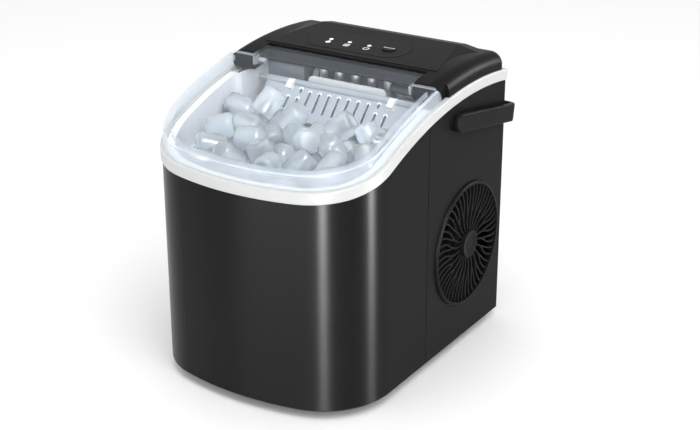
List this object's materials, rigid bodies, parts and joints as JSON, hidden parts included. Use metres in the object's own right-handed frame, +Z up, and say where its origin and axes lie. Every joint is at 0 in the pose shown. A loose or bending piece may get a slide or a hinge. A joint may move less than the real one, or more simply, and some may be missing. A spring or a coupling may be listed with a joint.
{
  "type": "countertop ice maker",
  "caption": "Countertop ice maker with a clear hinged lid, lift-out ice basket, tilting water tray, folding carry handle and round side fan grille.",
  "frame": {"origin": "on the table, below the middle of the whole outline with the handle folded back", "axes": "+X to the right seen from the front, +Y to the back, +Z up; the bowed front faces -Y"},
  "size_m": [0.248, 0.299, 0.2844],
  "materials": {
    "black_gloss": "glossy moulded black plastic",
    "black_satin": "satin moulded black plastic",
    "panel_black": "smooth black panel film",
    "white_plastic": "smooth white food-safe plastic",
    "clear_plastic": "clear moulded plastic",
    "lamp_white": "milky white lamp lens",
    "circuit_green": "green circuit board",
    "soft_rubber": "dull rubber",
    "zinc_steel": "zinc-plated steel",
    "black_paint": "semi-gloss black paint on steel",
    "fin_aluminium": "bare aluminium sheet",
    "copper": "drawn copper tube",
    "nickel": "nickel-plated copper",
    "white_foam": "white foam"
  },
  "bodies": {
    "cabinet": {"front_housing": "black_gloss", "rear_housing": "black_gloss", "handle_pivots": "black_satin", "top_cover": "black_satin", "fan_grille": "black_satin", "cord_gland": "black_satin", "ice_level_sensors": "black_satin", "terminal_cover": "black_satin", "water_pump": "black_satin", "control_panel": "panel_black", "trim_frame": "white_plastic", "bin_liner": "white_plastic", "water_tank": "white_plastic", "tray_gear_motor": "white_plastic", "tray_bearing": "white_plastic", "indicator_lenses": "lamp_white", "control_board": "circuit_green", "button_switch": "circuit_green", "rubber_feet": "soft_rubber", "compressor_mounts": "soft_rubber", "water_hose": "soft_rubber", "base_plate": "zinc_steel", "base_screws": "zinc_steel", "board_screws": "zinc_steel", "lid_hinge_pins": "zinc_steel", "shovel_pins": "zinc_steel", "evaporator_bracket": "zinc_steel", "water_level_probe": "zinc_steel", "compressor": "black_paint", "fan_bracket": "black_paint", "fan_motor": "black_paint", "hot_gas_valve": "black_paint", "condenser_fins": "fin_aluminium", "condenser_coil": "copper", "filter_drier": "copper", "discharge_tube": "copper", "condenser_tube": "copper", "liquid_tube": "copper", "suction_tube": "copper", "evaporator_tube": "nickel", "freezing_fingers": "nickel", "foam_jacket": "white_foam"},
    "lid": {"lid": "clear_plastic"},
    "handle": {"handle": "black_satin"},
    "power_button": {"power_button": "panel_black"},
    "fan": {"fan_rotor": "black_satin", "fan_shaft": "zinc_steel"},
    "water_tray": {"water_tray": "white_plastic", "tray_shaft": "zinc_steel"},
    "ice_shovel": {"ice_shovel": "white_plastic"},
    "ice_basket": {"ice_basket": "white_plastic"},
    "drain_plug": {"drain_plug": "black_satin"}
  },
  "joints": [
    {"name": "lid_hinge", "type": "hinge", "parent": "cabinet", "child": "lid", "pos_m": [0, 0.01801, 0.267], "axis": [-1, 0, 0], "range_deg": [0, 80]},
    {"name": "handle_fold", "type": "hinge", "parent": "cabinet", "child": "handle", "pos_m": [0, 0.03701, 0.236], "axis": [1, 0, 0], "range_deg": [0, 100]},
    {"name": "button_press", "type": "slide", "parent": "cabinet", "child": "power_button", "axis": [0, 0.0571, -0.9984], "range_m": [0, 0.0009], "stiffness_N_per_m": 400},
    {"name": "fan_spin", "type": "hinge", "parent": "cabinet", "child": "fan", "pos_m": [0, 0.06601, 0.106], "axis": [1, 0, 0], "continuous": true},
    {"name": "tray_tilt", "type": "hinge", "parent": "cabinet", "child": "water_tray", "pos_m": [0, 0.06001, 0.248], "axis": [1, 0, 0], "range_deg": [0, 55]},
    {"name": "shovel_swing", "type": "hinge", "parent": "cabinet", "child": "ice_shovel", "pos_m": [0, 0.02801, 0.247], "axis": [1, 0, 0], "range_deg": [0, 20]},
    {"name": "basket_lift", "type": "slide", "parent": "cabinet", "child": "ice_basket", "axis": [0, 0, 1], "range_m": [0, 0.01]},
    {"name": "drain_pull", "type": "slide", "parent": "cabinet", "child": "drain_plug", "axis": [-1, 0, 0], "range_m": [0, 0.014]}
  ],
  "couplings": [
    {"joint": "shovel_swing", "follows": "tray_tilt", "ratio": 0.35}
  ]
}
